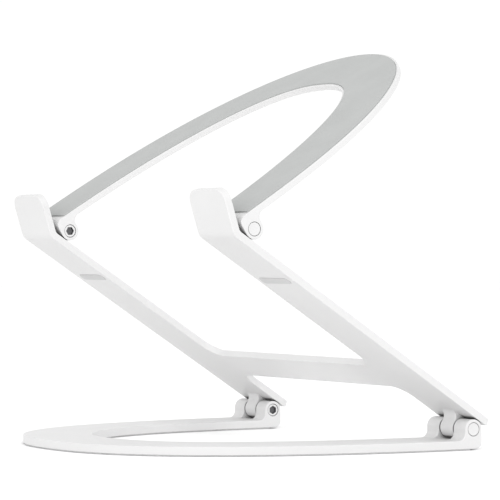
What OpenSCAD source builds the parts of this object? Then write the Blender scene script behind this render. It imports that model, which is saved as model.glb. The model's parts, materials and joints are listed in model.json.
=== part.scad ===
// Folding laptop stand. A U-shaped base lies on the desk, an H-shaped arm frame slopes forwards
// and up from the back of it, and a U-shaped top ring slopes backwards and up from the arms' ends.
// Two hinges join the arms to the base, and two join the top ring to the arms.

/* [Stand] */
// Width of the base across its outer sides
base_w = 240; // [236:1:244]
// Width of the top ring across its outer sides
ring_w = 239; // [234:0.5:240]
// Clear width between the two legs of the base, the arms and the top ring
clear_w = 168; // [166:1:170]
// Slope of the arms above the desk, in degrees
arm_slope = 33.1; // [30:0.1:36]
// Slope of the top ring above the desk, in degrees
ring_slope = 32; // [25:0.5:36]

/* [Base] */
// Length of the base's curved front, from the ends of its straight legs
base_l = 184.6; // [178:0.2:190]
// Length of the base's inner opening, from the same line
base_in_l = 148.8; // [143:0.1:153]
// Distance from the hinge line to the start of the base's curve
base_start = 3.4; // [2:0.1:5]
// Thickness of the base plate
base_t = 4.4; // [4:0.1:5]
// Height of the foot pad below the base plate
foot_h = 0.6; // [0.5:0.1:1.6]

/* [Arm frame] */
// Distance along the arms from the base hinge line to the top hinge line
arm_l = 167.6; // [164:0.2:172]
// Thickness of the arm plate
arm_t = 3.9; // [3.5:0.1:4.2]
// Length of the arms' tails behind the base hinge line
tail_l = 6.1; // [5.6:0.1:6.6]
// Distance along the arms from the base hinge line to the crossbar
crossbar_at = 29.6; // [25:0.2:34]
// Width of the crossbar
crossbar_w = 21.8; // [18:0.2:26]
// Radius of the fillets where the crossbar meets the arms
crossbar_fillet = 10; // [6:0.5:12]
// Angle between each hook and its arm, in degrees
hook_turn = 40; // [36:0.5:44]
// Length of the flat part of each hook
hook_l = 21.4; // [20:0.1:24]
// Radius of the corners at each hook's tip
hook_corner = 7; // [4:0.5:9]

/* [Top ring] */
// Length of the top ring's curved part, from the ends of its straight legs
ring_l = 171; // [168:0.2:174]
// Length of the top ring's inner opening, from the same line
ring_in_l = 136.5; // [134:0.1:140]
// Distance from the hinge line to the start of the top ring's curve
ring_start = 1.1; // [0.6:0.1:2]
// Thickness of the top ring's plate
ring_t = 3.3; // [3:0.1:3.6]
// Height of the top ring's pad above the plate
pad_h = 0.65; // [0.5:0.05:0.9]
// Width of the bare border round the pads
pad_border = 1.3; // [1:0.1:2]

/* [Hinges] */
// Radius of the hinge ears and knuckles
ear_r = 5.2; // [5:0.05:5.2]
// Radius of the concave fillet between an ear and its leg
ear_fillet = 4; // [2:0.5:4]
// Width of the knuckle between two ears
knuckle_w = 11.4; // [10:0.1:12]
// Width of the gap on each side of the knuckle
gap_w = 1.2; // [1:0.1:1.4]
// Diameter of the screw's shoulder
shoulder_d = 5; // [4.8:0.1:5.2]
// Diameter of the screw's and the nut's heads
head_d = 6.9; // [6.6:0.1:7.6]

/* [Hidden] */
$fn = 64;

// Exponents of the superellipse curves: [across, along] for outer and inner edges
base_curve = [2.44, 2.26];
base_in_curve = [2.29, 2.52];
ring_curve = [2.02, 2.36];
ring_in_curve = [2.33, 2.05];
curve_steps = 40;

// Heights between the hinge lines and the faces of the plates
base_rise = 5.8;
arm_drop = 5.7;
arm_rise = 5.55;
ring_rise = 5.5;
end_round = 3.8;
groove = 0.4;
foot_border = 0.5;
pad_gap = 0.05;
pad_end = 1.6;

// Hinge lines, first measured from the base hinge
base_pivot_z = foot_h + base_t + base_rise;
top_pivot_s = arm_l;
top_pivot_w = arm_drop + arm_t + arm_rise;
top_pivot_y = -top_pivot_s * cos(arm_slope) + top_pivot_w * sin(arm_slope);
top_pivot_z = base_pivot_z + top_pivot_s * sin(arm_slope) + top_pivot_w * cos(arm_slope);

// The object's middle in Y, from the base's front to the top ring's tip
front_y = -base_start - base_l;
ring_tip_y = top_pivot_y + (ring_start + ring_l) * cos(ring_slope) - ring_rise * sin(ring_slope);
middle_y = (front_y + ring_tip_y) / 2;

// Stations across a hinge, from the middle plane outwards
inner_x = clear_w / 2;
base_outer_x = base_w / 2;
ring_outer_x = ring_w / 2;
knuckle_x = inner_x + (base_outer_x - inner_x - knuckle_w) / 2;
knuckle_end_x = knuckle_x + knuckle_w;
leg_w = base_outer_x - inner_x;

// Bend of the hook
bend_in_r = 3.6;
bend_out_r = bend_in_r + arm_t;
bend_s = 173;
bend_w = arm_drop + arm_t + bend_in_r;
bend_steps = 16;

// The arms' tails end in a slanted face with two rounded corners
tail_round = 0.8;
tail_turn = 12;
tail_top_y = tail_l - tail_round - (arm_t - 2 * tail_round) * tan(tail_turn);

// Hinge hardware
head_recess = 0.3;
screw_head_t = 2.6;
spring_room = 1;
socket_af = 4;
socket_depth = 1.7;
nut_head_t = 1.8;
thread_d = 3.4;
thread_l = 7;
bore_gap = 0.1;
head_gap = 0.4;
bush_d = 7;
washer_d = 9.4;
washer_side_gap = 0.1;
screw_seat_x = inner_x + head_recess + screw_head_t;
shoulder_end_x = knuckle_end_x + gap_w + 0.6;

// Strips and pads of the arm frame
bumper_l = 27.4;
bumper_w = 5;
bumper_t = 0.9;
bumper_proud = 0.3;
bumper_s = 134.2;
bumper_mid_x = inner_x + 17.3;
hook_pad_t = 1;
hook_pad_from = 8;
hook_pad_to = 20;
hook_pad_side = 4;

metal = [0.94, 0.94, 0.94];
silicone = [0.76, 0.77, 0.76];
steel = [0.55, 0.56, 0.57];
polymer = [0.15, 0.15, 0.16];
bronze = [0.72, 0.55, 0.35];

// ---- outlines ----

// A quarter of a superellipse, from [w, -start] to [0, -start - l]
function quarter(w, l, start, curve) = [
    for (i = [0 : curve_steps])
        let (t = 90 * i / curve_steps)
        [w * pow(cos(t), 2 / curve[0]), -start - l * pow(sin(t), 2 / curve[1])]
];

// The whole curved edge, from the right leg round the front to the left leg
function curved_edge(w, l, start, curve) = let (right = quarter(w, l, start, curve)) concat(
    right,
    [for (i = [curve_steps - 1 : -1 : 0]) [-right[i][0], right[i][1]]]
);

function reversed(list) = [for (i = [len(list) - 1 : -1 : 0]) list[i]];

// A U with its legs towards +Y, with both edges moved in by border
module u_outline(w, l, curve, w_in, l_in, curve_in, start, border = 0) {
    outer = w - border;
    inner = w_in + border;
    polygon(concat(
        [[outer, ear_r]],
        curved_edge(outer, l - border, start, curve),
        [[-outer, ear_r], [-inner, ear_r]],
        reversed(curved_edge(inner, l_in + border, start, curve_in)),
        [[inner, ear_r]]
    ));
}

// Cuts a U's legs off square at end_y
module legs_end_at(end_y) {
    reach = 250;
    intersection() {
        children();
        translate([-reach, -reach]) square([2 * reach, reach + end_y]);
    }
}

// Points on an arc, from angle a0 to angle a1
function arc(y, z, r, a0, a1, steps) = [
    for (i = [0 : steps])
        let (a = a0 + (a1 - a0) * i / steps)
        [y + r * cos(a), z + r * sin(a)]
];

// The side view of an ear or knuckle: a round end on a block that goes down to its plate
module lug_side(rise, root, fillet_front, fillet_back) {
    circle(r = ear_r);
    translate([-ear_r, -rise - root]) square([2 * ear_r, rise + root]);
    if (fillet_front > 0) corner_fillet(-1, rise, fillet_front);
    if (fillet_back > 0) corner_fillet(1, rise, fillet_back);
}

// The concave corner between a lug and its plate, on the side that dir points to
module corner_fillet(dir, rise, r) {
    reach = ear_r + r;
    difference() {
        translate([dir > 0 ? ear_r - 1 : -reach, -rise - 0.5]) square([r + 1, r + 0.5]);
        translate([dir * reach, -rise + r]) circle(r = r);
    }
}

// Two-dimensional shapes in Y and Z, extruded along X from x0 to x1
module along_x(x0, x1) {
    translate([x0, 0, 0]) rotate([90, 0, 90]) linear_extrude(x1 - x0) children();
}

module x_rod(x0, x1, d) {
    translate([x0, 0, 0]) rotate([0, 90, 0]) cylinder(h = x1 - x0, d = d);
}

// ---- places ----

module on_side(side) {
    if (side > 0) children();
    else mirror([1, 0, 0]) children();
}

module at_base_pivot() {
    translate([0, -middle_y, base_pivot_z]) children();
}

module at_arm() {
    at_base_pivot() rotate([-arm_slope, 0, 0]) children();
}

module at_top_pivot() {
    translate([0, top_pivot_y - middle_y, top_pivot_z]) rotate([180 + ring_slope, 0, 0]) children();
}

// From the arms' own frame to the hook, which starts at y = 0 and runs towards -Y
module at_hook() {
    at_arm() translate([0, -bend_s, bend_w]) rotate([-hook_turn, 0, 0]) children();
}

// ---- plates ----

// A U-shaped plate with its two pairs of ears, its hinge line on the X axis and the plate below it
module eared_plate(w, l, curve, l_in, curve_in, start, rise, t, border) {
    outer_x = w / 2;
    difference() {
        union() {
            translate([0, 0, -rise - t]) linear_extrude(t)
                u_outline(outer_x, l, curve, inner_x, l_in, curve_in, start);
            for (side = [-1, 1]) on_side(side) {
                along_x(inner_x, knuckle_x - gap_w) lug_side(rise, t, ear_fillet, 0);
                along_x(knuckle_end_x + gap_w, outer_x) lug_side(rise, t, ear_fillet, 0);
            }
        }
        translate([0, 0, -rise - t - 1]) linear_extrude(1 + groove) legs_end_at(-pad_end)
            u_outline(outer_x, l, curve, inner_x, l_in, curve_in, start, border);
        for (side = [-1, 1]) on_side(side) {
            along_x(inner_x - 1, outer_x + 1) end_corner(rise, t);
            x_rod(inner_x - 1, outer_x + 1, shoulder_d + bore_gap);
            x_rod(inner_x - 1, screw_seat_x + spring_room, head_d + head_gap);
            x_rod(outer_x - head_recess - nut_head_t, outer_x + 1, head_d + head_gap);
        }
    }
}

// What the rounding takes off the lower back corner of a leg's end
module end_corner(rise, t) {
    difference() {
        translate([ear_r - end_round, -rise - t - 1]) square([end_round + 1, end_round + 1]);
        translate([ear_r - end_round, -rise - t + end_round]) circle(r = end_round);
    }
}

// The pad that lies in a plate's groove
module plate_pad(w, l, curve, l_in, curve_in, start, rise, t, border, proud) {
    translate([0, 0, -rise - t - proud]) linear_extrude(proud + groove)
        legs_end_at(-pad_end - pad_gap)
        u_outline(w / 2, l, curve, inner_x, l_in, curve_in, start, border + pad_gap);
}

module base_ring() {
    color(metal) at_base_pivot()
        eared_plate(base_w, base_l, base_curve, base_in_l, base_in_curve, base_start, base_rise, base_t,
            foot_border);
}

module base_foot_pad() {
    color(silicone) at_base_pivot() plate_pad(base_w, base_l, base_curve, base_in_l, base_in_curve,
        base_start, base_rise, base_t, foot_border, foot_h);
}

module top_ring() {
    color(metal) at_top_pivot()
        eared_plate(ring_w, ring_l, ring_curve, ring_in_l, ring_in_curve, ring_start, ring_rise, ring_t,
            pad_border);
}

module top_ring_pad() {
    color(silicone) at_top_pivot() plate_pad(ring_w, ring_l, ring_curve, ring_in_l, ring_in_curve,
        ring_start, ring_rise, ring_t, pad_border, pad_h);
}

// ---- arm frame ----

// The side view of an arm and its hook, in -s and height: a slanted tail, the bend and a square tip
module arm_side() {
    turn = 270 - hook_turn;
    run = hook_l * [-cos(hook_turn), sin(hook_turn)];
    outer = arc(-bend_s, bend_w, bend_out_r, 270, turn, bend_steps);
    inner = arc(-bend_s, bend_w, bend_in_r, turn, 270, bend_steps);
    polygon(concat(
        arc(tail_top_y, arm_drop + arm_t - tail_round, tail_round, 90, tail_turn, bend_steps / 2),
        arc(tail_l - tail_round, arm_drop + tail_round, tail_round, tail_turn, -90, bend_steps / 2),
        outer,
        [outer[bend_steps] + run, inner[0] + run],
        inner
    ));
}

// The crossbar, in X and -s, with a fillet in each of its corners
module crossbar_outline() {
    translate([-inner_x - 1, -crossbar_at - crossbar_w]) square([2 * inner_x + 2, crossbar_w]);
    for (side = [-1, 1], end = [-1, 1]) crossbar_corner(side, end);
}

module crossbar_corner(side, end) {
    edge_y = -crossbar_at - (end > 0 ? 0 : crossbar_w);
    r = crossbar_fillet;
    difference() {
        translate([side > 0 ? inner_x - r : -inner_x - 1, end > 0 ? edge_y - 1 : edge_y - r])
            square([r + 1, r + 1]);
        translate([side * (inner_x - r), edge_y + end * r]) circle(r = r);
    }
}

// What the rounding takes off the two corners of a hook's tip
module hook_tip_corners() {
    r = hook_corner;
    translate([0, 0, -bend_out_r - 1]) linear_extrude(arm_t + 2)
        for (corner = [[inner_x, 1], [inner_x + leg_w, -1]]) difference() {
            translate([corner[0] - (corner[1] > 0 ? 1 : r), -hook_l - 1]) square([r + 1, r + 1]);
            translate([corner[0] + corner[1] * r, -hook_l + r]) circle(r = r);
        }
}

// A strip with two round ends, centred under an arm
module bumper_outline(grow = 0) {
    half = bumper_l / 2 - bumper_w / 2;
    translate([bumper_mid_x - half, -bumper_s - bumper_w / 2 - grow]) square([2 * half, bumper_w + 2 * grow]);
    for (dir = [-1, 1]) translate([bumper_mid_x + dir * half, -bumper_s]) circle(d = bumper_w + 2 * grow);
}

module arm_frame() {
    color(metal) difference() {
        union() {
            at_arm() translate([0, 0, arm_drop]) linear_extrude(arm_t) crossbar_outline();
            for (side = [-1, 1]) on_side(side) {
                at_arm() along_x(inner_x, inner_x + leg_w) arm_side();
                at_arm() along_x(knuckle_x, knuckle_end_x)
                    rotate(180) lug_side(arm_drop, arm_t / 2, 0, ear_fillet);
                at_arm() translate([0, -top_pivot_s, top_pivot_w]) along_x(knuckle_x, knuckle_end_x)
                    lug_side(arm_rise, arm_t / 2, 0, 3);
            }
        }
        for (side = [-1, 1]) on_side(side) {
            at_hook() hook_tip_corners();
            at_arm() x_rod(knuckle_x - 0.5, knuckle_end_x + 0.5, bush_d);
            at_arm() translate([0, -top_pivot_s, top_pivot_w])
                x_rod(knuckle_x - 0.5, knuckle_end_x + 0.5, bush_d);
            at_arm() translate([0, 0, arm_drop - 1])
                linear_extrude(1 + bumper_t - bumper_proud) bumper_outline(pad_gap);
        }
    }
}

module arm_bumper(side) {
    color(silicone) on_side(side) at_arm() translate([0, 0, arm_drop - bumper_proud])
        linear_extrude(bumper_t) bumper_outline();
}

module hook_pad(side) {
    color(silicone) on_side(side) at_hook()
        translate([inner_x + hook_pad_side, -hook_pad_to, -bend_in_r])
            cube([leg_w - 2 * hook_pad_side, hook_pad_to - hook_pad_from, hook_pad_t]);
}

// ---- hinge hardware, its line on the X axis ----

// A turned piece: a profile of [radius, x] points, turned about the X axis
module turned(profile) {
    rotate([0, 90, 0]) rotate_extrude() polygon(profile);
}

// Shoulder screw with a hex socket; its head is in the inner ear
module hinge_screw() {
    head_x = inner_x + head_recess;
    edge = 0.4;
    color(steel) difference() {
        turned([
            [0, head_x], [head_d / 2 - edge, head_x], [head_d / 2, head_x + edge],
            [head_d / 2, screw_seat_x], [shoulder_d / 2, screw_seat_x],
            [shoulder_d / 2, shoulder_end_x], [thread_d / 2, shoulder_end_x],
            [thread_d / 2, shoulder_end_x + thread_l], [0, shoulder_end_x + thread_l]
        ]);
        translate([head_x - 1, 0, 0]) rotate([0, 90, 0])
            cylinder(h = socket_depth + 1, d = socket_af / cos(30), $fn = 6);
    }
}

// Sleeve nut; its head is flush in the outer ear and its sleeve takes the screw's thread
module hinge_nut(outer_x) {
    face_x = outer_x - 0.05;
    seat_x = outer_x - head_recess - nut_head_t;
    edge = 0.3;
    color(metal) turned([
        [thread_d / 2 + 0.05, shoulder_end_x + 0.05], [shoulder_d / 2, shoulder_end_x + 0.05],
        [shoulder_d / 2, seat_x], [head_d / 2, seat_x],
        [head_d / 2, face_x - edge], [head_d / 2 - edge, face_x],
        [0, face_x], [0, shoulder_end_x + thread_l + 0.2],
        [thread_d / 2 + 0.05, shoulder_end_x + thread_l + 0.2]
    ]);
}

// Plain bush in the knuckle, running on the screw's shoulder
module hinge_bush() {
    inner_r = (shoulder_d + bore_gap) / 2;
    color(bronze) turned([
        [inner_r, knuckle_x], [bush_d / 2 - 0.02, knuckle_x],
        [bush_d / 2 - 0.02, knuckle_end_x], [inner_r, knuckle_end_x]
    ]);
}

// Friction washer against an ear, with a small running gap to the knuckle
module friction_washer(ear_x, dir) {
    thick = gap_w - washer_side_gap;
    x0 = dir > 0 ? ear_x : ear_x - thick;
    color(polymer) turned([
        [shoulder_d / 2 + 0.1, x0], [washer_d / 2, x0],
        [washer_d / 2, x0 + thick], [shoulder_d / 2 + 0.1, x0 + thick]
    ]);
}

// Two dished disc springs, back to back, under the screw's head
module disc_springs() {
    sheet = 0.3;
    dish = 0.15;
    in_r = shoulder_d / 2 + 0.1;
    out_r = head_d / 2 - 0.1;
    x0 = screw_seat_x + 0.03;
    x1 = x0 + sheet + dish + 0.03;
    color(steel) {
        turned([[in_r, x0], [out_r, x0 + dish], [out_r, x0 + dish + sheet], [in_r, x0 + sheet]]);
        turned([[in_r, x1 + dish], [out_r, x1], [out_r, x1 + sheet], [in_r, x1 + dish + sheet]]);
    }
}

inner_ear_x = knuckle_x - gap_w;
outer_ear_x = knuckle_end_x + gap_w;

base_ring();
base_foot_pad();
arm_frame();
arm_bumper(1);  // right_arm_bumper
arm_bumper(-1);  // left_arm_bumper
hook_pad(1);  // right_hook_pad
hook_pad(-1);  // left_hook_pad
top_ring();
top_ring_pad();
at_base_pivot() on_side(1) hinge_screw();  // right_base_screw
at_base_pivot() on_side(1) hinge_nut(base_outer_x);  // right_base_nut
at_base_pivot() on_side(1) hinge_bush();  // right_base_bush
at_base_pivot() on_side(1) friction_washer(inner_ear_x, 1);  // right_base_inner_washer
at_base_pivot() on_side(1) friction_washer(outer_ear_x, -1);  // right_base_outer_washer
at_base_pivot() on_side(1) disc_springs();  // right_base_disc_springs
at_base_pivot() on_side(-1) hinge_screw();  // left_base_screw
at_base_pivot() on_side(-1) hinge_nut(base_outer_x);  // left_base_nut
at_base_pivot() on_side(-1) hinge_bush();  // left_base_bush
at_base_pivot() on_side(-1) friction_washer(inner_ear_x, 1);  // left_base_inner_washer
at_base_pivot() on_side(-1) friction_washer(outer_ear_x, -1);  // left_base_outer_washer
at_base_pivot() on_side(-1) disc_springs();  // left_base_disc_springs
at_top_pivot() on_side(1) hinge_screw();  // right_top_screw
at_top_pivot() on_side(1) hinge_nut(ring_outer_x);  // right_top_nut
at_top_pivot() on_side(1) hinge_bush();  // right_top_bush
at_top_pivot() on_side(1) friction_washer(inner_ear_x, 1);  // right_top_inner_washer
at_top_pivot() on_side(1) friction_washer(outer_ear_x, -1);  // right_top_outer_washer
at_top_pivot() on_side(1) disc_springs();  // right_top_disc_springs
at_top_pivot() on_side(-1) hinge_screw();  // left_top_screw
at_top_pivot() on_side(-1) hinge_nut(ring_outer_x);  // left_top_nut
at_top_pivot() on_side(-1) hinge_bush();  // left_top_bush
at_top_pivot() on_side(-1) friction_washer(inner_ear_x, 1);  // left_top_inner_washer
at_top_pivot() on_side(-1) friction_washer(outer_ear_x, -1);  // left_top_outer_washer
at_top_pivot() on_side(-1) disc_springs();  // left_top_disc_springs
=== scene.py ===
import json
import math

import bmesh
import bpy
import numpy as np
from mathutils import Matrix, Vector
from mathutils.geometry import delaunay_2d_cdt


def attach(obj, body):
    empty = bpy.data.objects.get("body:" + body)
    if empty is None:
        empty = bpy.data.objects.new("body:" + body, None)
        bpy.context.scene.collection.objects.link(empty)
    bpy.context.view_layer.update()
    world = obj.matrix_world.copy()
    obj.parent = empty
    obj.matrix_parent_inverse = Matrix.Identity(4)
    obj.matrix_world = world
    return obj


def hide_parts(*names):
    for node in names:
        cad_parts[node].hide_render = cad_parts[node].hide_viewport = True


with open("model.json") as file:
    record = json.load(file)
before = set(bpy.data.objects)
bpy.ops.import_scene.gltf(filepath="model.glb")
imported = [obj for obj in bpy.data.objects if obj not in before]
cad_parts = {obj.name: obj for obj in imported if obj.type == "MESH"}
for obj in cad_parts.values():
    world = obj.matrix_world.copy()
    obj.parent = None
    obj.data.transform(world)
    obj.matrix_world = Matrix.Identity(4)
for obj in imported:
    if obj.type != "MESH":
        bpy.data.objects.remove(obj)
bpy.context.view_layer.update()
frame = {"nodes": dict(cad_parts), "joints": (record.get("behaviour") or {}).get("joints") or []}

MM = 0.001

# ---- camera, floor and light, in metres and degrees ----

CAMERA_AT = (1.334859, -0.758464, 0.106769)
CAMERA_AZIMUTH = 59.63
CAMERA_ELEVATION = 0.09
CAMERA_ROLL = -0.0573
CAMERA_LENS = 203.907
CAMERA_NEAR = 0.05

# name, place, size and watts of each area light
SOFTBOXES = [
    ("front_softbox", (2.6, -2.56, 1.5), (2.4, 1.8), 40.0),
    ("top_softbox", (0.7, 0.6, 1.1), (0.8, 0.8), 2.5),
]
LIGHT_AIM = (0, 0, 0.08)
WORLD_STRENGTH = 1.03
FLOOR_HALF = 6.0
FLOOR_DROP = 0.0001

# ---- the object's sizes in millimetres, as in the CAD ----

INNER_X = 84
LEG_W = 36
OUTER_X = INNER_X + LEG_W

BASE = dict(half_width=120, length=184.6, start=3.4, curve=(2.44, 2.26), in_length=148.8,
            in_curve=(2.29, 2.52), rise=5.8, thick=4.4, border=0.5, pad=0.6)
RING = dict(half_width=119.5, length=171, start=1.1, curve=(2.02, 2.36), in_length=136.5,
            in_curve=(2.33, 2.05), rise=5.5, thick=3.3, border=1.3, pad=0.65)
GROOVE = 0.4
PAD_GAP = 0.05
PAD_END = 1.6

EAR_R = 5.2
EAR_FILLET = 4
EAR_OVERLAP = 0.3
EAR_CORNER = 3.8
STRAIGHT_END = EAR_R + EAR_FILLET + EAR_OVERLAP
KNUCKLE_X, KNUCKLE_END_X = 96.3, 107.7
GAP_W = 1.2
BORE_R = 2.55
BUSH_R = 3.5
COUNTERBORE_R = 3.65
SEAT_X = 87.9
NUT_SEAT = 2.1

ARM_T = 3.9
ARM_DROP = 5.7
TOP_PIVOT_S, TOP_PIVOT_W = 167.6, 15.15
TOP_FILLET = 3
TAIL, TAIL_ROUND, TAIL_TURN = 6.1, 0.8, 12
CROSSBAR_AT, CROSSBAR_W, CROSSBAR_FILLET = 29.6, 21.8, 10
BEND_S, BEND_W, BEND_IN_R = 173, 13.2, 3.6
HOOK_TURN, HOOK_L, HOOK_CORNER = 40, 21.4, 7

BUMPER_X, BUMPER_S = INNER_X + 17.3, 134.2
BUMPER_L, BUMPER_W, BUMPER_T, BUMPER_PROUD = 27.4, 5, 0.9, 0.3
HOOK_PAD_T, HOOK_PAD_FROM, HOOK_PAD_TO, HOOK_PAD_SIDE, HOOK_PAD_CORNER = 1, 8, 20, 4, 2.5
CHANNELS_AT, CHANNEL_W, CHANNEL_DEPTH, CHANNEL_INSET = (11, 14, 17), 0.8, 0.35, 2.5

HEAD_R = 3.45
HEAD_X = INNER_X + 0.3
SCREW_SEAT_X = HEAD_X + 2.6
SOCKET_AF, SOCKET_FLARE = 4, 0.3
SOCKET_DEPTH, SOCKET_TIP = 1.7, 2.3
SHOULDER_R = 2.5
SHOULDER_END_X = KNUCKLE_END_X + GAP_W + 0.6
THREAD_L, THREAD_PITCH = 7, 0.7
THREAD_R, THREAD_ROOT_R = 1.7, 1.4
NUT_BORE_R = 1.75
NUT_RECESS = 0.05

# ---- fineness of the meshes, in steps, degrees and millimetres ----

CURVE_STEPS = 72
ROUND_STEPS = 48
BEVEL_STEPS = 4
WELD = 0.002
MERGE_ANGLE = 0.05
FLAT_ANGLE = 0.03
SHARP_ANGLE = 25
TURNED_SHARP_ANGLE = 35
OVERRUN = 1
HAIR = 0.01

# the rounding of an edge: its share of a face's width, its least, how fast it changes along a run
ROOM_SHARE = 0.42
LEAST_RADIUS = 0.03
RADIUS_SLOPE = 0.2
RUN_COSINE = 0.7
GAP_RADIUS = 0.4
BORE_RADIUS = 0.15
BORE_OPENINGS = 4.2

# ---- places ----

BASE_PIVOT, TOP_PIVOT = (Vector(joint["pos_m"]) for joint in frame["joints"])
ARM_SLOPE, RING_SLOPE = math.radians(33.1), math.radians(32)
AT_BASE = Matrix.Translation(BASE_PIVOT)
AT_ARM = AT_BASE @ Matrix.Rotation(-ARM_SLOPE, 4, "X")
AT_RING = Matrix.Translation(TOP_PIVOT) @ Matrix.Rotation(math.pi + RING_SLOPE, 4, "X")
HOOK_BEND = Matrix.Rotation(math.radians(-HOOK_TURN), 4, "X")
AT_HOOK = AT_ARM @ Matrix.Translation((0, -BEND_S * MM, BEND_W * MM)) @ HOOK_BEND
MIRROR = Matrix.Scale(-1, 4, (1, 0, 0))

# the hinge lines that cross a plate, as (y, z) in its own frame
PLATE_PIVOTS = ((0, 0),)
ARM_PIVOTS = ((0, 0), (-TOP_PIVOT_S, TOP_PIVOT_W))


# ---- scene ----

def make_camera():
    data = bpy.data.cameras.new("camera")
    data.lens = CAMERA_LENS
    data.sensor_width = 36
    data.clip_start = CAMERA_NEAR
    camera = bpy.data.objects.new("camera", data)
    bpy.context.scene.collection.objects.link(camera)
    az, el, roll = (math.radians(a) for a in (CAMERA_AZIMUTH, CAMERA_ELEVATION, CAMERA_ROLL))
    back = Vector((math.sin(az) * math.cos(el), -math.cos(az) * math.cos(el), math.sin(el)))
    level = Vector((math.cos(az), math.sin(az), 0))
    right = math.cos(roll) * level + math.sin(roll) * back.cross(level)
    turn = Matrix((right, back.cross(right), back)).transposed()
    camera.matrix_world = Matrix.Translation(CAMERA_AT) @ turn.to_4x4()
    bpy.context.scene.camera = camera


def make_area_light(name, at, size, power):
    data = bpy.data.lights.new(name, "AREA")
    data.shape = "RECTANGLE"
    data.size, data.size_y = size
    data.energy = power
    light = bpy.data.objects.new(name, data)
    light.location = at
    aim = Vector(LIGHT_AIM) - Vector(at)
    light.rotation_euler = aim.to_track_quat("-Z", "Y").to_euler()
    bpy.context.scene.collection.objects.link(light)


def make_world():
    world = bpy.data.worlds.new("studio")
    world.use_nodes = True
    background = world.node_tree.nodes["Background"]
    background.inputs["Color"].default_value = (1, 1, 1, 1)
    background.inputs["Strength"].default_value = WORLD_STRENGTH
    bpy.context.scene.world = world
    bpy.context.scene.view_settings.view_transform = "Standard"


def make_floor():
    bm = bmesh.new()
    bmesh.ops.create_circle(bm, cap_ends=True, segments=96, radius=FLOOR_HALF)
    mesh = bpy.data.meshes.new("floor")
    bm.to_mesh(mesh)
    bm.free()
    floor = bpy.data.objects.new("floor", mesh)
    floor.location.z = -FLOOR_DROP
    bpy.context.scene.collection.objects.link(floor)
    mesh.materials.append(floor_paper())


# ---- materials; the sizes of their patterns are in metres ----

class Nodes:
    """Short names for building a Principled material's node tree."""

    def __init__(self, name):
        self.material = bpy.data.materials.new(name)
        self.material.use_nodes = True
        self.tree = self.material.node_tree
        self.shader = self.tree.nodes["Principled BSDF"]
        self.place = self.tree.nodes.new("ShaderNodeTexCoord").outputs["Object"]

    def link(self, a, b):
        self.tree.links.new(a, b)

    def noise(self, size, detail=2.0, roughness=0.5, place=None):
        node = self.tree.nodes.new("ShaderNodeTexNoise")
        node.inputs["Scale"].default_value = 1 / size
        node.inputs["Detail"].default_value = detail
        node.inputs["Roughness"].default_value = roughness
        self.link(place or self.place, node.inputs["Vector"])
        return node.outputs["Fac"]

    def cells(self, size):
        """The distance to the nearest of many scattered points, size apart."""
        node = self.tree.nodes.new("ShaderNodeTexVoronoi")
        node.inputs["Scale"].default_value = 1 / size
        self.link(self.place, node.inputs["Vector"])
        return node.outputs["Distance"]

    def stretched(self, factors):
        node = self.tree.nodes.new("ShaderNodeMapping")
        node.inputs["Scale"].default_value = factors
        self.link(self.place, node.inputs["Vector"])
        return node.outputs["Vector"]

    def attribute(self, name):
        node = self.tree.nodes.new("ShaderNodeAttribute")
        node.attribute_name = name
        return node.outputs["Fac"]

    def ramp(self, value, stops):
        """stops: (position, grey value or colour) pairs"""
        node = self.tree.nodes.new("ShaderNodeValToRGB")
        elements = node.color_ramp.elements
        while len(elements) < len(stops):
            elements.new(0.5)
        for element, (position, colour) in zip(elements, stops):
            element.position = position
            rgb = (colour,) * 3 if isinstance(colour, (int, float)) else colour
            element.color = (*rgb, 1)
        self.link(value, node.inputs["Fac"])
        return node.outputs["Color"]

    def range(self, value, low, high, low_at=0.0, high_at=1.0):
        """low where value is low_at, high where it is high_at, and clamped beyond them."""
        node = self.tree.nodes.new("ShaderNodeMapRange")
        node.inputs["From Min"].default_value = low_at
        node.inputs["From Max"].default_value = high_at
        node.inputs["To Min"].default_value = low
        node.inputs["To Max"].default_value = high
        self.link(value, node.inputs["Value"])
        return node.outputs["Result"]

    def math(self, how, a, b):
        node = self.tree.nodes.new("ShaderNodeMath")
        node.operation = how
        for socket, value in zip(node.inputs, (a, b)):
            if isinstance(value, (int, float)):
                socket.default_value = value
            else:
                self.link(value, socket)
        return node.outputs["Value"]

    def mix(self, factor, a, b):
        """Colours a and b, which are sockets or plain colours, mixed by factor."""
        node = self.tree.nodes.new("ShaderNodeMix")
        node.data_type = "RGBA"
        self.link(factor, node.inputs["Factor"])
        for socket, value in ((node.inputs[6], a), (node.inputs[7], b)):
            if isinstance(value, tuple):
                socket.default_value = (*value, 1)
            else:
                self.link(value, socket)
        return node.outputs[2]

    def crevice(self, reach):
        """1 in the open, falling to 0 deep in a gap that is narrower than reach."""
        node = self.tree.nodes.new("ShaderNodeAmbientOcclusion")
        node.samples = 8
        node.inputs["Distance"].default_value = reach
        return node.outputs["AO"]

    def bump(self, height, depth, strength, under=None):
        """A normal from a height, on top of the normal under it."""
        node = self.tree.nodes.new("ShaderNodeBump")
        node.inputs["Strength"].default_value = strength
        node.inputs["Distance"].default_value = depth
        self.link(height, node.inputs["Height"])
        if under is not None:
            self.link(under, node.inputs["Normal"])
        return node.outputs["Normal"]

    def finish(self, colour, roughness=None, normal=None, **fixed):
        for socket, value in (("Base Color", colour), ("Roughness", roughness), ("Normal", normal)):
            if value is not None:
                self.link(value, self.shader.inputs[socket])
        for socket, value in fixed.items():
            self.shader.inputs[socket.replace("_", " ")].default_value = value
        return self.material


def shade(tint, factor):
    return tuple(min(1, c * factor) for c in tint)


def floor_paper():
    """Smooth pale studio paper."""
    m = Nodes("floor_paper")
    colour = m.ramp(m.noise(0.4, 1), [(0.3, (0.995, 0.995, 0.995)), (0.7, (1, 1, 1))])
    return m.finish(colour, Roughness=0.9, Specular_IOR_Level=0.1)


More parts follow.
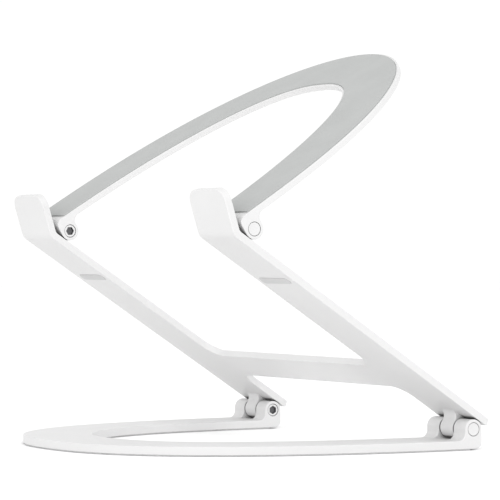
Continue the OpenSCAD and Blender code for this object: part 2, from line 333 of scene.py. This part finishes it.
def powder_coat(name, tint):
    """White satin powder coat: orange peel, fine grain, specks, rubbed edges, and painted shade that
    turns it near black deep in gaps and crevices.
    """
    m = Nodes(name)
    cloud = m.noise(0.045, 3, 0.6)
    body = m.ramp(cloud, [(0.3, shade(tint, 0.985)), (0.7, shade(tint, 1.012))])
    speck = m.range(m.cells(0.0021), 1, 0, 0.05, 0.09)
    rare = m.range(m.noise(0.006, 1), 0, 0.35, 0.6, 0.7)
    body = m.mix(m.math("MULTIPLY", speck, rare), body, shade(tint, 0.8))
    patches = m.range(m.noise(0.004, 3, 0.65), 0.1, 0.9, 0.42, 0.62)
    rub = m.math("MULTIPLY", m.attribute("edge"), patches)
    rubbed = m.mix(rub, body, shade(tint, 1.07))
    # painted shade: the colour falls to near black where the ambient occlusion finds a gap or crevice
    # narrower than 3.5 mm
    painted_gap_shade = m.ramp(m.crevice(0.0035), [(0.12, 1), (0.42, 0)])
    colour = m.mix(painted_gap_shade, rubbed, (0.02, 0.019, 0.018))
    satin = m.range(m.noise(0.012, 3), 0.40, 0.50)
    rough = m.math("SUBTRACT", satin, m.math("MULTIPLY", rub, 0.1))
    peel = m.bump(m.noise(0.0016, 1, 0.4), 0.00006, 0.55)
    grain = m.bump(m.noise(0.00035, 2, 0.6), 0.00001, 0.5, peel)
    return m.finish(colour, rough, grain, Specular_IOR_Level=0.45)


def silicone(name, tint):
    """Matt silicone rubber: fine moulded grain, faint mottling, lint and polished edges."""
    m = Nodes(name)
    mottled = m.ramp(m.noise(0.02, 4, 0.6), [(0.3, shade(tint, 0.965)), (0.72, shade(tint, 1.03))])
    fine = m.noise(0.0005, 2, 0.7)
    speck = m.range(m.cells(0.0017), 1, 0, 0.04, 0.1)
    rare = m.range(m.noise(0.009, 2), 0, 0.5, 0.55, 0.7)
    body = m.mix(m.math("MULTIPLY", speck, rare), mottled, shade(tint, 1.25))
    patches = m.range(m.noise(0.003, 3), 0.1, 0.8, 0.4, 0.65)
    rub = m.math("MULTIPLY", m.attribute("edge"), patches)
    colour = m.mix(rub, body, shade(tint, 0.9))
    matt = m.range(fine, 0.62, 0.78)
    rough = m.math("SUBTRACT", matt, m.math("MULTIPLY", rub, 0.12))
    wave = m.bump(m.noise(0.004, 2), 0.00004, 0.3)
    pebble = m.bump(fine, 0.00003, 0.6, wave)
    return m.finish(colour, rough, pebble, Specular_IOR_Level=0.35)


def turned_metal(name, tint, roughness):
    """Machined metal: fine lathe lines round the hinge's line, darker stains and bright edges."""
    m = Nodes(name)
    lines = m.noise(0.00025, 2, 0.6, m.stretched((8, 0.6, 0.6)))
    stain = m.noise(0.003, 3, 0.6)
    body = m.ramp(stain, [(0.35, shade(tint, 0.82)), (0.68, tint)])
    rub = m.math("MULTIPLY", m.attribute("edge"), m.range(stain, 0.3, 1, 0.4, 0.6))
    colour = m.mix(rub, body, shade(tint, 1.2))
    rough = m.range(lines, roughness - 0.07, roughness + 0.1)
    return m.finish(colour, rough, m.bump(lines, 0.00001, 0.5), Metallic=1.0)


def moulded_polymer(name, tint):
    """Dark self-lubricating polymer with a fine mould grain and paler clouds."""
    m = Nodes(name)
    fine = m.noise(0.0003, 3, 0.7)
    colour = m.ramp(m.noise(0.002, 3, 0.6), [(0.3, tint), (0.75, shade(tint, 1.6))])
    return m.finish(colour, m.range(fine, 0.5, 0.7), m.bump(fine, 0.00002, 0.5))


# ---- outlines, in millimetres and in each part's own frame ----

def arc(y, z, r, start, end, steps):
    """Points on an arc round (y, z) from angle start to angle end, in degrees."""
    angles = (math.radians(start + (end - start) * i / steps) for i in range(steps + 1))
    return [(y + r * math.cos(a), z + r * math.sin(a)) for a in angles]


def moved(points, y, z, flip=False):
    sign = -1 if flip else 1
    return [(y + sign * u, z + sign * v) for u, v in points]


def mirrored(points, side):
    return [(side * x, y) for x, y in points]


def rounded_rectangle(low_x, high_x, low_y, high_y, r):
    steps = ROUND_STEPS // 4
    return [
        *arc(high_x - r, low_y + r, r, -90, 0, steps),
        *arc(high_x - r, high_y - r, r, 0, 90, steps),
        *arc(low_x + r, high_y - r, r, 90, 180, steps),
        *arc(low_x + r, low_y + r, r, 180, 270, steps),
    ]


def superellipse(half_width, length, start, curve):
    """The quarter from [half_width, -start] to [0, -start - length]."""
    points = []
    for i in range(CURVE_STEPS + 1):
        t = math.radians(90 * i / CURVE_STEPS)
        x = half_width * max(0, math.cos(t)) ** (2 / curve[0])
        points.append((x, -start - length * math.sin(t) ** (2 / curve[1])))
    return points


def curved_edge(half_width, length, start, curve):
    """From the right leg round the front to the left leg, straight beside the hinges."""
    curved = superellipse(half_width, length, start, curve)
    quarter = [(half_width, -STRAIGHT_END), *(p for p in curved if p[1] < -STRAIGHT_END - 1)]
    return quarter + [(-x, y) for x, y in reversed(quarter[:-1])]


def u_outline(plate, border, end_y):
    """A U whose legs end at end_y, with both of its edges moved in by border."""
    outer, inner = plate["half_width"] - border, INNER_X + border
    outside = curved_edge(outer, plate["length"] - border, plate["start"], plate["curve"])
    inside = curved_edge(inner, plate["in_length"] + border, plate["start"], plate["in_curve"])
    ends = [(-outer, end_y), (-inner, end_y)]
    return [(outer, end_y), *outside, *ends, *reversed(inside), (inner, end_y)]


# ---- solids ----

def tidy_loop(points):
    """Drops points that repeat the one before."""
    kept = []
    for p in points:
        if not kept or math.dist(p, kept[-1]) > 0.001:
            kept.append(p)
    return kept if math.dist(kept[0], kept[-1]) > 0.001 else kept[:-1]


def prism(points, low, high, place):
    """A closed solid between two copies of an outline; place(u, v, w) gives a vertex."""
    bm = bmesh.new()
    points = tidy_loop(points)
    rings = [[bm.verts.new(place(u, v, w)) for u, v in points] for w in (low, high)]
    bm.faces.new(rings[0])
    bm.faces.new(list(reversed(rings[1])))
    count = len(points)
    for i in range(count):
        j = (i + 1) % count
        bm.faces.new((rings[0][j], rings[0][i], rings[1][i], rings[1][j]))
    bmesh.ops.recalc_face_normals(bm, faces=bm.faces)
    return bm


def upright(points, low, high):
    """An outline in X and Y, extruded along Z."""
    return prism(points, low, high, lambda u, v, w: (u, v, w))


def across(points, low, high, side):
    """An outline in Y and Z, extruded along X, on the right (1) or the left (-1) side."""
    return prism(points, low, high, lambda u, v, w: (side * w, u, v))


def rod(y, z, r, low, high, side):
    """A round bar along X, on the right (1) or the left (-1) side."""
    return across(arc(y, z, r, 0, 360, ROUND_STEPS)[:-1], low, high, side)


def holder_of(bm, name="solid"):
    """A passing object that holds a mesh for its modifiers."""
    mesh = bpy.data.meshes.new(name)
    bm.to_mesh(mesh)
    bm.free()
    holder = bpy.data.objects.new(name, mesh)
    bpy.context.scene.collection.objects.link(holder)
    return holder


def evaluated(holder):
    """A holder's mesh with its modifiers applied, as a bmesh."""
    depsgraph = bpy.context.evaluated_depsgraph_get()
    mesh = bpy.data.meshes.new_from_object(holder.evaluated_get(depsgraph))
    bm = bmesh.new()
    bm.from_mesh(mesh)
    bpy.data.meshes.remove(mesh)
    return bm


def drop(holders):
    for holder in holders:
        mesh = holder.data
        bpy.data.objects.remove(holder)
        bpy.data.meshes.remove(mesh)


def combined(solids, cuts=()):
    """The union of solids, less the cuts, with its flat faces whole."""
    first, *others = [holder_of(bm) for bm in (*solids, *cuts)]
    for i, other in enumerate(others):
        modifier = first.modifiers.new("combine", "BOOLEAN")
        modifier.solver = "EXACT"
        modifier.operation = "UNION" if i < len(solids) - 1 else "DIFFERENCE"
        modifier.object = other
    bm = evaluated(first)
    drop([first, *others])
    bmesh.ops.remove_doubles(bm, verts=bm.verts, dist=WELD)
    bmesh.ops.dissolve_limit(
        bm, angle_limit=math.radians(MERGE_ANGLE), use_dissolve_boundaries=False,
        verts=bm.verts, edges=bm.edges,
    )
    return bm


# ---- rounded edges ----

def edge_angle(edge):
    """An edge's angle in degrees, below zero where it is concave."""
    return math.degrees(edge.calc_face_angle_signed(0))


def flat_region(face, regions):
    """The ends of the edges round the flat region that face belongs to."""
    if face.index in regions:
        return regions[face.index]
    seen, todo, rim = {face.index}, [face], []
    while todo:
        for edge in todo.pop().edges:
            if abs(edge_angle(edge)) > FLAT_ANGLE:
                rim.append(edge)
                continue
            for other in edge.link_faces:
                if other.index not in seen:
                    seen.add(other.index)
                    todo.append(other)
    ends = np.array([[tuple(v.co) for v in edge.verts] for edge in rim])
    for index in seen:
        regions[index] = ends
    return ends


def room_beside(edge, face, regions):
    """How far a flat region reaches from the middle of one of its edges, straight across it."""
    loop = next(l for l in edge.link_loops if l.face == face)
    a, b = loop.vert.co, loop.link_loop_next.vert.co
    along = (b - a).normalized()
    inward = face.normal.cross(along)
    relative = flat_region(face, regions) - np.array((a + b) / 2)
    u = relative @ np.array(along)
    v = relative @ np.array(inward)
    crossing = (u[:, 0] * u[:, 1]) < 0
    u, v = u[crossing], v[crossing]
    hit = v[:, 0] + (v[:, 1] - v[:, 0]) * (-u[:, 0] / (u[:, 1] - u[:, 0]))
    hit = hit[hit > 0.005]
    return float(hit.min()) if len(hit) else math.inf


def even_out(bm, widths):
    """Lowers the radii along each run of rounded edges until they change only slowly."""
    pairs = []
    for vert in bm.verts:
        rounded = [edge for edge in vert.link_edges if widths[edge.index] > 0]
        for i, one in enumerate(rounded):
            for other in rounded[i + 1:]:
                a = (one.other_vert(vert).co - vert.co).normalized()
                b = (vert.co - other.other_vert(vert).co).normalized()
                if a.dot(b) > RUN_COSINE:
                    step = RADIUS_SLOPE * min(one.calc_length(), other.calc_length())
                    pairs.append((one.index, other.index, step))
    changed = True
    while changed:
        changed = False
        for a, b, step in pairs:
            low, high = (a, b) if widths[a] < widths[b] else (b, a)
            if widths[high] > widths[low] + step + 0.001:
                widths[high] = widths[low] + step
                changed = True


def refill(bm):
    """Splits the many-sided faces that Blender fills wrongly.

    Where the triangles of a long thin face have more area than the face itself, they overlap. A
    constrained triangulation replaces it, with a new vertex where its outline crosses itself."""
    filled = {}
    for corners in bm.calc_loop_triangles():
        a, b, c = (loop.vert.co for loop in corners)
        face = corners[0].face
        filled[face] = filled.get(face, 0) + (b - a).cross(c - a).length / 2
    for face, area in filled.items():
        if len(face.verts) < 12 or area < face.calc_area() * 1.001:
            continue
        corners = list(face.verts)
        turn = face.normal.rotation_difference(Vector((0, 0, 1))).to_matrix()
        flat = [turn @ vert.co for vert in corners]
        height = flat[0].z
        outline = [p.to_2d() for p in flat]
        inside_only, exact = 1, 1e-6
        points, _, triangles, sources, _, _ = delaunay_2d_cdt(
            outline, [], [list(range(len(outline)))], inside_only, exact
        )
        for point, source in zip(points, sources):
            if not source:
                corners.append(bm.verts.new(turn.transposed() @ Vector((*point, height))))
                source.append(len(corners) - 1)
        for triangle in triangles:
            bm.faces.new([corners[sources[i][0]] for i in triangle], face)
        bm.faces.remove(face)


def rounding_widths(bm, radius_of):
    """Each edge's rounding, less than radius_of(edge, angle) where a face is too narrow for it."""
    bm.faces.ensure_lookup_table()
    bm.faces.index_update()
    bm.edges.index_update()
    regions = {}
    widths = np.zeros(len(bm.edges))
    for edge in bm.edges:
        angle = edge_angle(edge)
        edge.smooth = abs(angle) < SHARP_ANGLE
        radius = 0 if edge.smooth else radius_of(edge, angle)
        if radius:
            room = min(room_beside(edge, face, regions) for face in edge.link_faces)
            radius = min(radius, ROOM_SHARE * room)
        if radius >= LEAST_RADIUS:
            widths[edge.index] = radius
            edge.smooth = True
    even_out(bm, widths)
    return widths


def round_edges(bm, radius_of):
    """Rounds the sharp edges, and gives the vertices on a rounding 1 in the attribute "edge"."""
    widths = rounding_widths(bm, radius_of)
    holder = holder_of(bm, "rounding")
    mesh = holder.data
    weights = mesh.attributes.new("bevel_weight_edge", "FLOAT", "EDGE")
    weights.data.foreach_set("value", widths / widths.max())
    # two empty material slots, so that the bevel marks its faces with the second
    mesh.materials.append(None)
    mesh.materials.append(None)
    bevel = holder.modifiers.new("bevel", "BEVEL")
    bevel.limit_method = "WEIGHT"
    bevel.width = widths.max()
    bevel.segments = BEVEL_STEPS
    bevel.use_clamp_overlap = False
    bevel.miter_outer = "MITER_SHARP"
    bevel.material = 1
    out = evaluated(holder)
    drop([holder])
    refill(out)
    layer = out.verts.layers.float.new("edge")
    for vert in out.verts:
        vert[layer] = float(all(face.material_index == 1 for face in vert.link_faces))
    for face in out.faces:
        face.material_index = 0
        face.smooth = True
    return out


def convex(radius):
    """The same radius on every convex edge."""
    return lambda edge, angle: radius if angle > 0 else 0


def radius_rule(outer, pivots):
    """A plate's radii: outer in general, finer in the gaps beside a knuckle and round a bore."""
    gap_faces = (KNUCKLE_X - GAP_W, KNUCKLE_X, KNUCKLE_END_X, KNUCKLE_END_X + GAP_W)

    def at_pivot(edge, pivot):
        return all(math.dist((v.co.y, v.co.z), pivot) < BORE_OPENINGS for v in edge.verts)

    def on_plane(edge, x):
        return all(abs(abs(v.co.x) - x) < 0.01 for v in edge.verts)

    def radius_of(edge, angle):
        if angle < 0:
            return 0
        if any(at_pivot(edge, pivot) for pivot in pivots):
            return BORE_RADIUS
        if any(on_plane(edge, x) for x in gap_faces):
            return min(outer, GAP_RADIUS)
        return outer

    return radius_of


# ---- base ring and top ring, with the hinge line on the X axis and the plate below it ----

def ear_side(plate, whole):
    """A leg's end from the side: with the ear where whole, else only the plate below the knuckle."""
    top, bottom = -plate["rise"], -plate["rise"] - plate["thick"]
    front = -EAR_R - EAR_FILLET
    steps = ROUND_STEPS // 2
    corner_y, corner_z = EAR_R - EAR_CORNER, bottom + EAR_CORNER
    corner = arc(corner_y, corner_z, EAR_CORNER, -90, 0, steps // 2)
    if whole:
        fillet = arc(front, top + EAR_FILLET, EAR_FILLET, 0, -90, steps // 2)
        upper = [*arc(0, 0, EAR_R, 0, 180, steps), *fillet]
    else:
        corner = [p for p in corner if p[1] < top]
        reach = math.sqrt(EAR_CORNER ** 2 - max(0, corner_z - top) ** 2)
        upper = [(corner_y + reach, top), (front, top)]
    return [(front - EAR_OVERLAP, bottom), *corner, *upper, (front - EAR_OVERLAP, top)]


def plate_solid(plate):
    """The U-shaped plate with its two pairs of ears, their bores and the groove for its pad."""
    top, bottom = -plate["rise"], -plate["rise"] - plate["thick"]
    inner_ear, outer_ear, outer = KNUCKLE_X - GAP_W, KNUCKLE_END_X + GAP_W, plate["half_width"]
    pad_outline = u_outline(plate, plate["border"], -PAD_END)
    solids = [upright(u_outline(plate, 0, -STRAIGHT_END), bottom, top)]
    cuts = [upright(pad_outline, bottom - OVERRUN, bottom + GROOVE)]
    for side in (1, -1):
        solids.append(across(ear_side(plate, True), INNER_X, inner_ear, side))
        solids.append(across(ear_side(plate, False), inner_ear, outer_ear, side))
        solids.append(across(ear_side(plate, True), outer_ear, outer, side))
        cuts.append(rod(0, 0, BORE_R, INNER_X - OVERRUN, outer + OVERRUN, side))
        cuts.append(rod(0, 0, COUNTERBORE_R, INNER_X - OVERRUN, SEAT_X, side))
        cuts.append(rod(0, 0, COUNTERBORE_R, outer - NUT_SEAT, outer + OVERRUN, side))
    return combined(solids, cuts)


def plate_pad(plate):
    bottom = -plate["rise"] - plate["thick"]
    outline = u_outline(plate, plate["border"] + PAD_GAP, -PAD_END - PAD_GAP)
    return upright(outline, bottom - plate["pad"], bottom + GROOVE)


# ---- arm frame ----

def arm_side():
    """An arm and its hook from the side: a slanted tail, the bend and a square tip."""
    bend_end = 270 - HOOK_TURN
    tip = math.radians(180 - HOOK_TURN)
    run_y, run_z = HOOK_L * math.cos(tip), HOOK_L * math.sin(tip)
    steps = ROUND_STEPS // 2
    r, low_y = TAIL_ROUND, TAIL - TAIL_ROUND
    top_y = low_y - (ARM_T - 2 * r) * math.tan(math.radians(TAIL_TURN))
    tail_top = arc(top_y, ARM_DROP + ARM_T - r, r, 90, TAIL_TURN, 8)
    tail_low = arc(low_y, ARM_DROP + r, r, TAIL_TURN, -90, 8)
    outer = arc(-BEND_S, BEND_W, BEND_IN_R + ARM_T, 270, bend_end, steps)
    inner = arc(-BEND_S, BEND_W, BEND_IN_R, bend_end, 270, steps)
    ends = moved([outer[-1], inner[0]], run_y, run_z)
    return [*tail_top, *tail_low, *outer, *ends, *inner]


def crossbar_outline():
    """The crossbar, with a fillet in each of its four corners."""
    r = CROSSBAR_FILLET
    near, far = -CROSSBAR_AT, -CROSSBAR_AT - CROSSBAR_W
    steps = ROUND_STEPS // 4
    inside, in_arm = INNER_X - r, INNER_X + OVERRUN
    right_near = arc(inside, near + r, r, -90, 0, steps)
    right_far = arc(inside, far - r, r, 0, 90, steps)
    right = [*right_near, (in_arm, near + r), (in_arm, far - r), *right_far]
    return [*right, *mirrored(reversed(right), -1)]


def knuckle_side(rise, fillet):
    """A knuckle on a plate that lies rise below it, from the side, rooted half way into the plate."""
    steps = ROUND_STEPS // 2
    root = -rise - ARM_T / 2
    back = arc(EAR_R + fillet, -rise + fillet, fillet, 270, 180, steps // 2)
    return [(-EAR_R, root), (EAR_R + fillet, root), *back, *arc(0, 0, EAR_R, 0, 180, steps)]


def hook_corner_cut(side, corner_x, sign):
    """What rounds one corner of a hook's tip, a hair outside it so that it isn't tangent."""
    r, beyond = HOOK_CORNER, 3
    tip = -HOOK_L - HAIR
    side_x = corner_x - sign * HAIR
    centre_x, beside_x = side_x + sign * r, side_x - sign * beyond
    start, end = (180, 270) if sign > 0 else (0, -90)
    curve = arc(centre_x, tip + r, r, start, end, ROUND_STEPS // 4)
    outline = [*curve, (centre_x, tip - beyond), (beside_x, tip - beyond), (beside_x, tip + r)]
    bm = upright(mirrored(outline, side), -BEND_IN_R - ARM_T - beyond, -BEND_IN_R + beyond)
    bm.transform(Matrix.Translation((0, -BEND_S, BEND_W)) @ HOOK_BEND)
    return bm


def bumper_outline(side, grow=0.0):
    half = BUMPER_L / 2 - BUMPER_W / 2
    r = BUMPER_W / 2 + grow
    steps = ROUND_STEPS // 2
    outer_end = arc(BUMPER_X + half, -BUMPER_S, r, -90, 90, steps)
    inner_end = arc(BUMPER_X - half, -BUMPER_S, r, 90, 270, steps)
    return mirrored([*outer_end, *inner_end], side)


def arm_half(side):
    """One arm with its hook, its two knuckles and its bumper's pocket."""
    lower = moved(knuckle_side(ARM_DROP, EAR_FILLET), 0, 0, flip=True)
    upper = knuckle_side(TOP_PIVOT_W - ARM_DROP - ARM_T, TOP_FILLET)
    upper = moved(upper, -TOP_PIVOT_S, TOP_PIVOT_W)
    solids = [
        across(arm_side(), INNER_X, OUTER_X, side),
        across(lower, KNUCKLE_X, KNUCKLE_END_X, side),
        across(upper, KNUCKLE_X, KNUCKLE_END_X, side),
    ]
    past = OVERRUN / 2
    bores = [rod(*pivot, BUSH_R, KNUCKLE_X - past, KNUCKLE_END_X + past, side) for pivot in ARM_PIVOTS]
    pocket_floor = ARM_DROP + BUMPER_T - BUMPER_PROUD
    cuts = [
        *bores,
        hook_corner_cut(side, INNER_X, 1),
        hook_corner_cut(side, OUTER_X, -1),
        upright(bumper_outline(side, PAD_GAP), ARM_DROP - OVERRUN, pocket_floor),
    ]
    return combined(solids, cuts)


def arm_solid():
    crossbar = upright(crossbar_outline(), ARM_DROP, ARM_DROP + ARM_T)
    return combined([crossbar, arm_half(1), arm_half(-1)])


def arm_bumper(side):
    bottom = ARM_DROP - BUMPER_PROUD
    return upright(bumper_outline(side), bottom, bottom + BUMPER_T)


def hook_pad(side):
    """A rounded mat with three shallow channels across it, in the hook's own frame."""
    low_x, high_x = INNER_X + HOOK_PAD_SIDE, OUTER_X - HOOK_PAD_SIDE
    bottom, top = -BEND_IN_R, -BEND_IN_R + HOOK_PAD_T
    outline = rounded_rectangle(low_x, high_x, -HOOK_PAD_TO, -HOOK_PAD_FROM, HOOK_PAD_CORNER)
    mat = upright(mirrored(outline, side), bottom, top)
    half, inset = CHANNEL_W / 2, CHANNEL_INSET
    cuts = []
    for at in CHANNELS_AT:
        channel = rounded_rectangle(low_x + inset, high_x - inset, -at - half, -at + half, half - HAIR)
        cuts.append(upright(mirrored(channel, side), top - CHANNEL_DEPTH, top + OVERRUN))
    return combined([mat], cuts)


# ---- hinge hardware ----

def hexagon(across_flats):
    """A hexagon's radius, as a function of the angle in degrees."""
    return lambda angle: across_flats / 2 / math.cos(math.radians((angle + 30) % 60 - 30))


def turned(profile, dark_from=0):
    """A profile of (radius, x) points, from axis to axis, turned about the X axis.

    A radius may be a function of the angle. The faces before point number dark_from get the second
    material."""
    bm = bmesh.new()
    rings = []
    for r, x in profile:
        if r == 0:
            rings.append([bm.verts.new((x, 0, 0))] * ROUND_STEPS)
            continue
        ring = []
        for i in range(ROUND_STEPS):
            angle = 360 * i / ROUND_STEPS
            radius = r(angle) if callable(r) else r
            turn = math.radians(angle)
            ring.append(bm.verts.new((x, radius * math.cos(turn), radius * math.sin(turn))))
        rings.append(ring)
    for n, (one, other) in enumerate(zip(rings, rings[1:])):
        for i in range(ROUND_STEPS):
            j = (i + 1) % ROUND_STEPS
            face = bm.faces.new(list(dict.fromkeys((one[i], one[j], other[j], other[i]))))
            face.smooth = True
            face.material_index = int(n < dark_from)
    bmesh.ops.recalc_face_normals(bm, faces=bm.faces)
    for edge in bm.edges:
        edge.smooth = abs(edge_angle(edge)) < TURNED_SHARP_ANGLE
    return bm


def hinge_screw():
    """Shoulder screw with a hex socket, a rounded head and a threaded end."""
    socket, flare = hexagon(SOCKET_AF), hexagon(SOCKET_AF + SOCKET_FLARE)
    head, seat, shoulder = HEAD_X, SCREW_SEAT_X, SHOULDER_END_X
    in_socket = [
        (0, head + SOCKET_TIP), (socket, head + SOCKET_DEPTH), (socket, head + 0.3),
        (flare, head + 0.1),
    ]
    on_head = [
        (2.75, head), (HEAD_R - 0.45, head), (HEAD_R - 0.22, head + 0.06),
        (HEAD_R - 0.06, head + 0.22), (HEAD_R, head + 0.45), (HEAD_R, seat - 0.1), (HEAD_R - 0.1, seat),
    ]
    on_shoulder = [
        (SHOULDER_R + 0.2, seat), (SHOULDER_R, seat + 0.15), (SHOULDER_R, shoulder - 0.25),
        (SHOULDER_R - 0.25, shoulder), (THREAD_ROOT_R + 0.05, shoulder),
    ]
    thread_start, pitch = shoulder + 0.5, THREAD_PITCH
    thread = [(THREAD_ROOT_R, thread_start)]
    for i in range(int((THREAD_L - 1) / pitch)):
        x = thread_start + i * pitch
        crest = [(THREAD_R, x + pitch * 0.45), (THREAD_R, x + pitch * 0.55)]
        thread += [*crest, (THREAD_ROOT_R, x + pitch)]
    end = shoulder + THREAD_L
    on_end = [(THREAD_ROOT_R - 0.05, end - 0.1), (THREAD_ROOT_R - 0.2, end), (0, end)]
    profile = [*in_socket, *on_head, *on_shoulder, *thread, *on_end]
    return turned(profile, len(in_socket) - 1)


def hinge_nut(outer_x):
    """Sleeve nut with a flat round head, which is very slightly dished."""
    face, seat, tip = outer_x - NUT_RECESS, outer_x - NUT_SEAT, SHOULDER_END_X + 0.05
    floor = SHOULDER_END_X + THREAD_L + 0.2
    bore = [(0, floor), (NUT_BORE_R, floor), (NUT_BORE_R, tip + 0.2), (NUT_BORE_R + 0.15, tip)]
    sleeve = [(SHOULDER_R - 0.1, tip), (SHOULDER_R, tip + 0.15), (SHOULDER_R, seat)]
    head = [(HEAD_R, seat), (HEAD_R, face - 0.3), (HEAD_R - 0.08, face - 0.12), (HEAD_R - 0.25, face)]
    dish = [(2.5, face), (2.35, face - 0.05), (2.15, face - 0.12), (0, face - 0.14)]
    return turned([*bore, *sleeve, *head, *dish])


# ---- pieces ----


def new_piece(name, bm, place, body, node, materials):
    """Puts a mesh in millimetres in its place, as a piece that rides on body and stands for node."""
    bm.transform(place @ Matrix.Scale(MM, 4))
    if place.is_negative:
        bmesh.ops.reverse_faces(bm, faces=bm.faces)
    mesh = bpy.data.meshes.new(name)
    bm.to_mesh(mesh)
    bm.free()
    piece = bpy.data.objects.new(name, mesh)
    bpy.context.scene.collection.objects.link(piece)
    for material in materials:
        mesh.materials.append(material)
    modifier = piece.modifiers.new("normals", "WEIGHTED_NORMAL")
    modifier.keep_sharp = True
    modifier.weight = 80
    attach(piece, body)
    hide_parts(node)


def make_plates(coat):
    base = round_edges(plate_solid(BASE), radius_rule(0.45, PLATE_PIVOTS))
    ring = round_edges(plate_solid(RING), radius_rule(0.35, PLATE_PIVOTS))
    arms = round_edges(arm_solid(), radius_rule(0.5, ARM_PIVOTS))
    new_piece("base_ring_body", base, AT_BASE, "base", "base_ring", [coat])
    new_piece("top_ring_body", ring, AT_RING, "ring", "top_ring", [coat])
    new_piece("arm_frame_body", arms, AT_ARM, "arms", "arm_frame", [coat])


def make_mats():
    pad = silicone("grey_silicone_pad", (0.435, 0.444, 0.439))
    strip = silicone("grey_silicone_strip", (0.575, 0.575, 0.575))
    # painted light: the foot's grey silicone is made far paler than the pads so that it stays light in
    # the shadow between the base and the floor
    foot = silicone("grey_silicone_foot_painted_paler", (0.72, 0.72, 0.72))
    base_mat = round_edges(plate_pad(BASE), convex(0.4))
    ring_mat = round_edges(plate_pad(RING), convex(0.3))
    new_piece("base_foot_mat", base_mat, AT_BASE, "base", "base_foot_pad", [foot])
    new_piece("top_ring_mat", ring_mat, AT_RING, "ring", "top_ring_pad", [pad])
    for name, side in (("right", 1), ("left", -1)):
        bumper = round_edges(arm_bumper(side), convex(0.25))
        hook_mat = round_edges(hook_pad(side), convex(0.3))
        new_piece(f"{name}_bumper_strip", bumper, AT_ARM, "arms", f"{name}_arm_bumper", [strip])
        new_piece(f"{name}_hook_mat", hook_mat, AT_HOOK, "arms", f"{name}_hook_pad", [pad])


def make_hinge_hardware(level, body, at_hinge, outer_x, coat, socket_steel):
    """The screw and the nut of a body's right and left hinge."""
    for name, place in (("right", at_hinge), ("left", at_hinge @ MIRROR)):
        hinge = f"{name}_{level}"
        new_piece(f"{hinge}_socket_screw", hinge_screw(), place, body, f"{hinge}_screw",
                  [coat, socket_steel])
        new_piece(f"{hinge}_sleeve_nut", hinge_nut(outer_x), place, body, f"{hinge}_nut", [coat])


def finish_carried_nodes():
    """Gives the CAD's bushes, washers and springs, which stay as they are, their materials."""
    materials = {
        "bush": turned_metal("bush_bronze", (0.62, 0.42, 0.22), 0.35),
        "washer": moulded_polymer("washer_polymer", (0.02, 0.02, 0.022)),
        "springs": turned_metal("spring_steel", (0.62, 0.63, 0.64), 0.3),
    }
    for name, node in frame["nodes"].items():
        for ending, material in materials.items():
            if name.endswith(ending):
                for slot in node.material_slots:
                    slot.material = material


make_camera()
make_world()
for softbox in SOFTBOXES:
    make_area_light(*softbox)
make_floor()

white_coat = powder_coat("white_powder_coat", (0.688, 0.686, 0.686))
dark_steel = turned_metal("socket_steel", (0.16, 0.16, 0.165), 0.42)
make_plates(white_coat)
make_mats()
make_hinge_hardware("base", "base", AT_BASE, OUTER_X, white_coat, dark_steel)
make_hinge_hardware("top", "ring", AT_RING, RING["half_width"], white_coat, dark_steel)
finish_carried_nodes()

bpy.context.view_layer.update()
